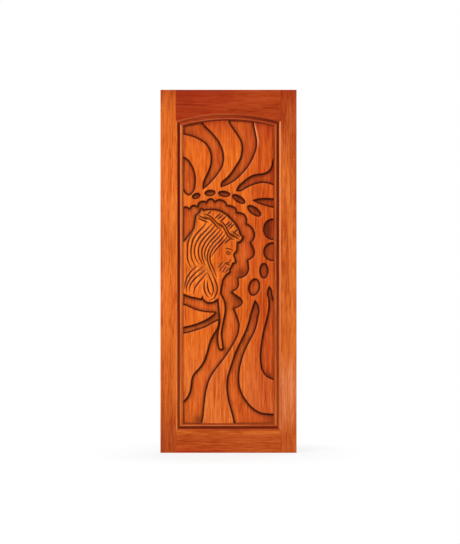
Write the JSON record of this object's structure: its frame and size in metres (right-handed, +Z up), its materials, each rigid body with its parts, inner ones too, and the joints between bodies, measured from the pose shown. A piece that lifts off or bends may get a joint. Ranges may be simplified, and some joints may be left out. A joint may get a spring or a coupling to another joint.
{
  "type": "carved temple door",
  "caption": "Stained hardwood door leaf: stiles, an arched top rail and a bottom rail round a panel carved in sunk relief with a robed figure among rays, lined with bead moulding",
  "frame": {"origin": "middle of the leaf's bottom edge, halfway through its thickness", "axes": "X across the leaf from the hinge edge at -X to the lock edge at +X as seen from the carved front, Y from the carved front at -Y to the plain back at +Y, Z up"},
  "size_m": [0.762, 0.044, 2.032],
  "materials": {
    "frame_wood": "red-brown stain under satin varnish",
    "panel_wood": "red-orange stain under satin varnish, dark glaze left in the cuts",
    "moulding_wood": "red-brown stain under satin varnish, dark glaze left in the quirk"
  },
  "bodies": {
    "root": {"left_stile": "frame_wood", "right_stile": "frame_wood", "top_rail": "frame_wood", "bottom_rail": "frame_wood", "carved_panel": "panel_wood", "front_moulding_left": "moulding_wood", "front_moulding_right": "moulding_wood", "front_moulding_bottom": "moulding_wood", "front_moulding_top": "moulding_wood", "back_moulding_left": "moulding_wood", "back_moulding_right": "moulding_wood", "back_moulding_bottom": "moulding_wood", "back_moulding_top": "moulding_wood"}
  },
  "joints": []
}
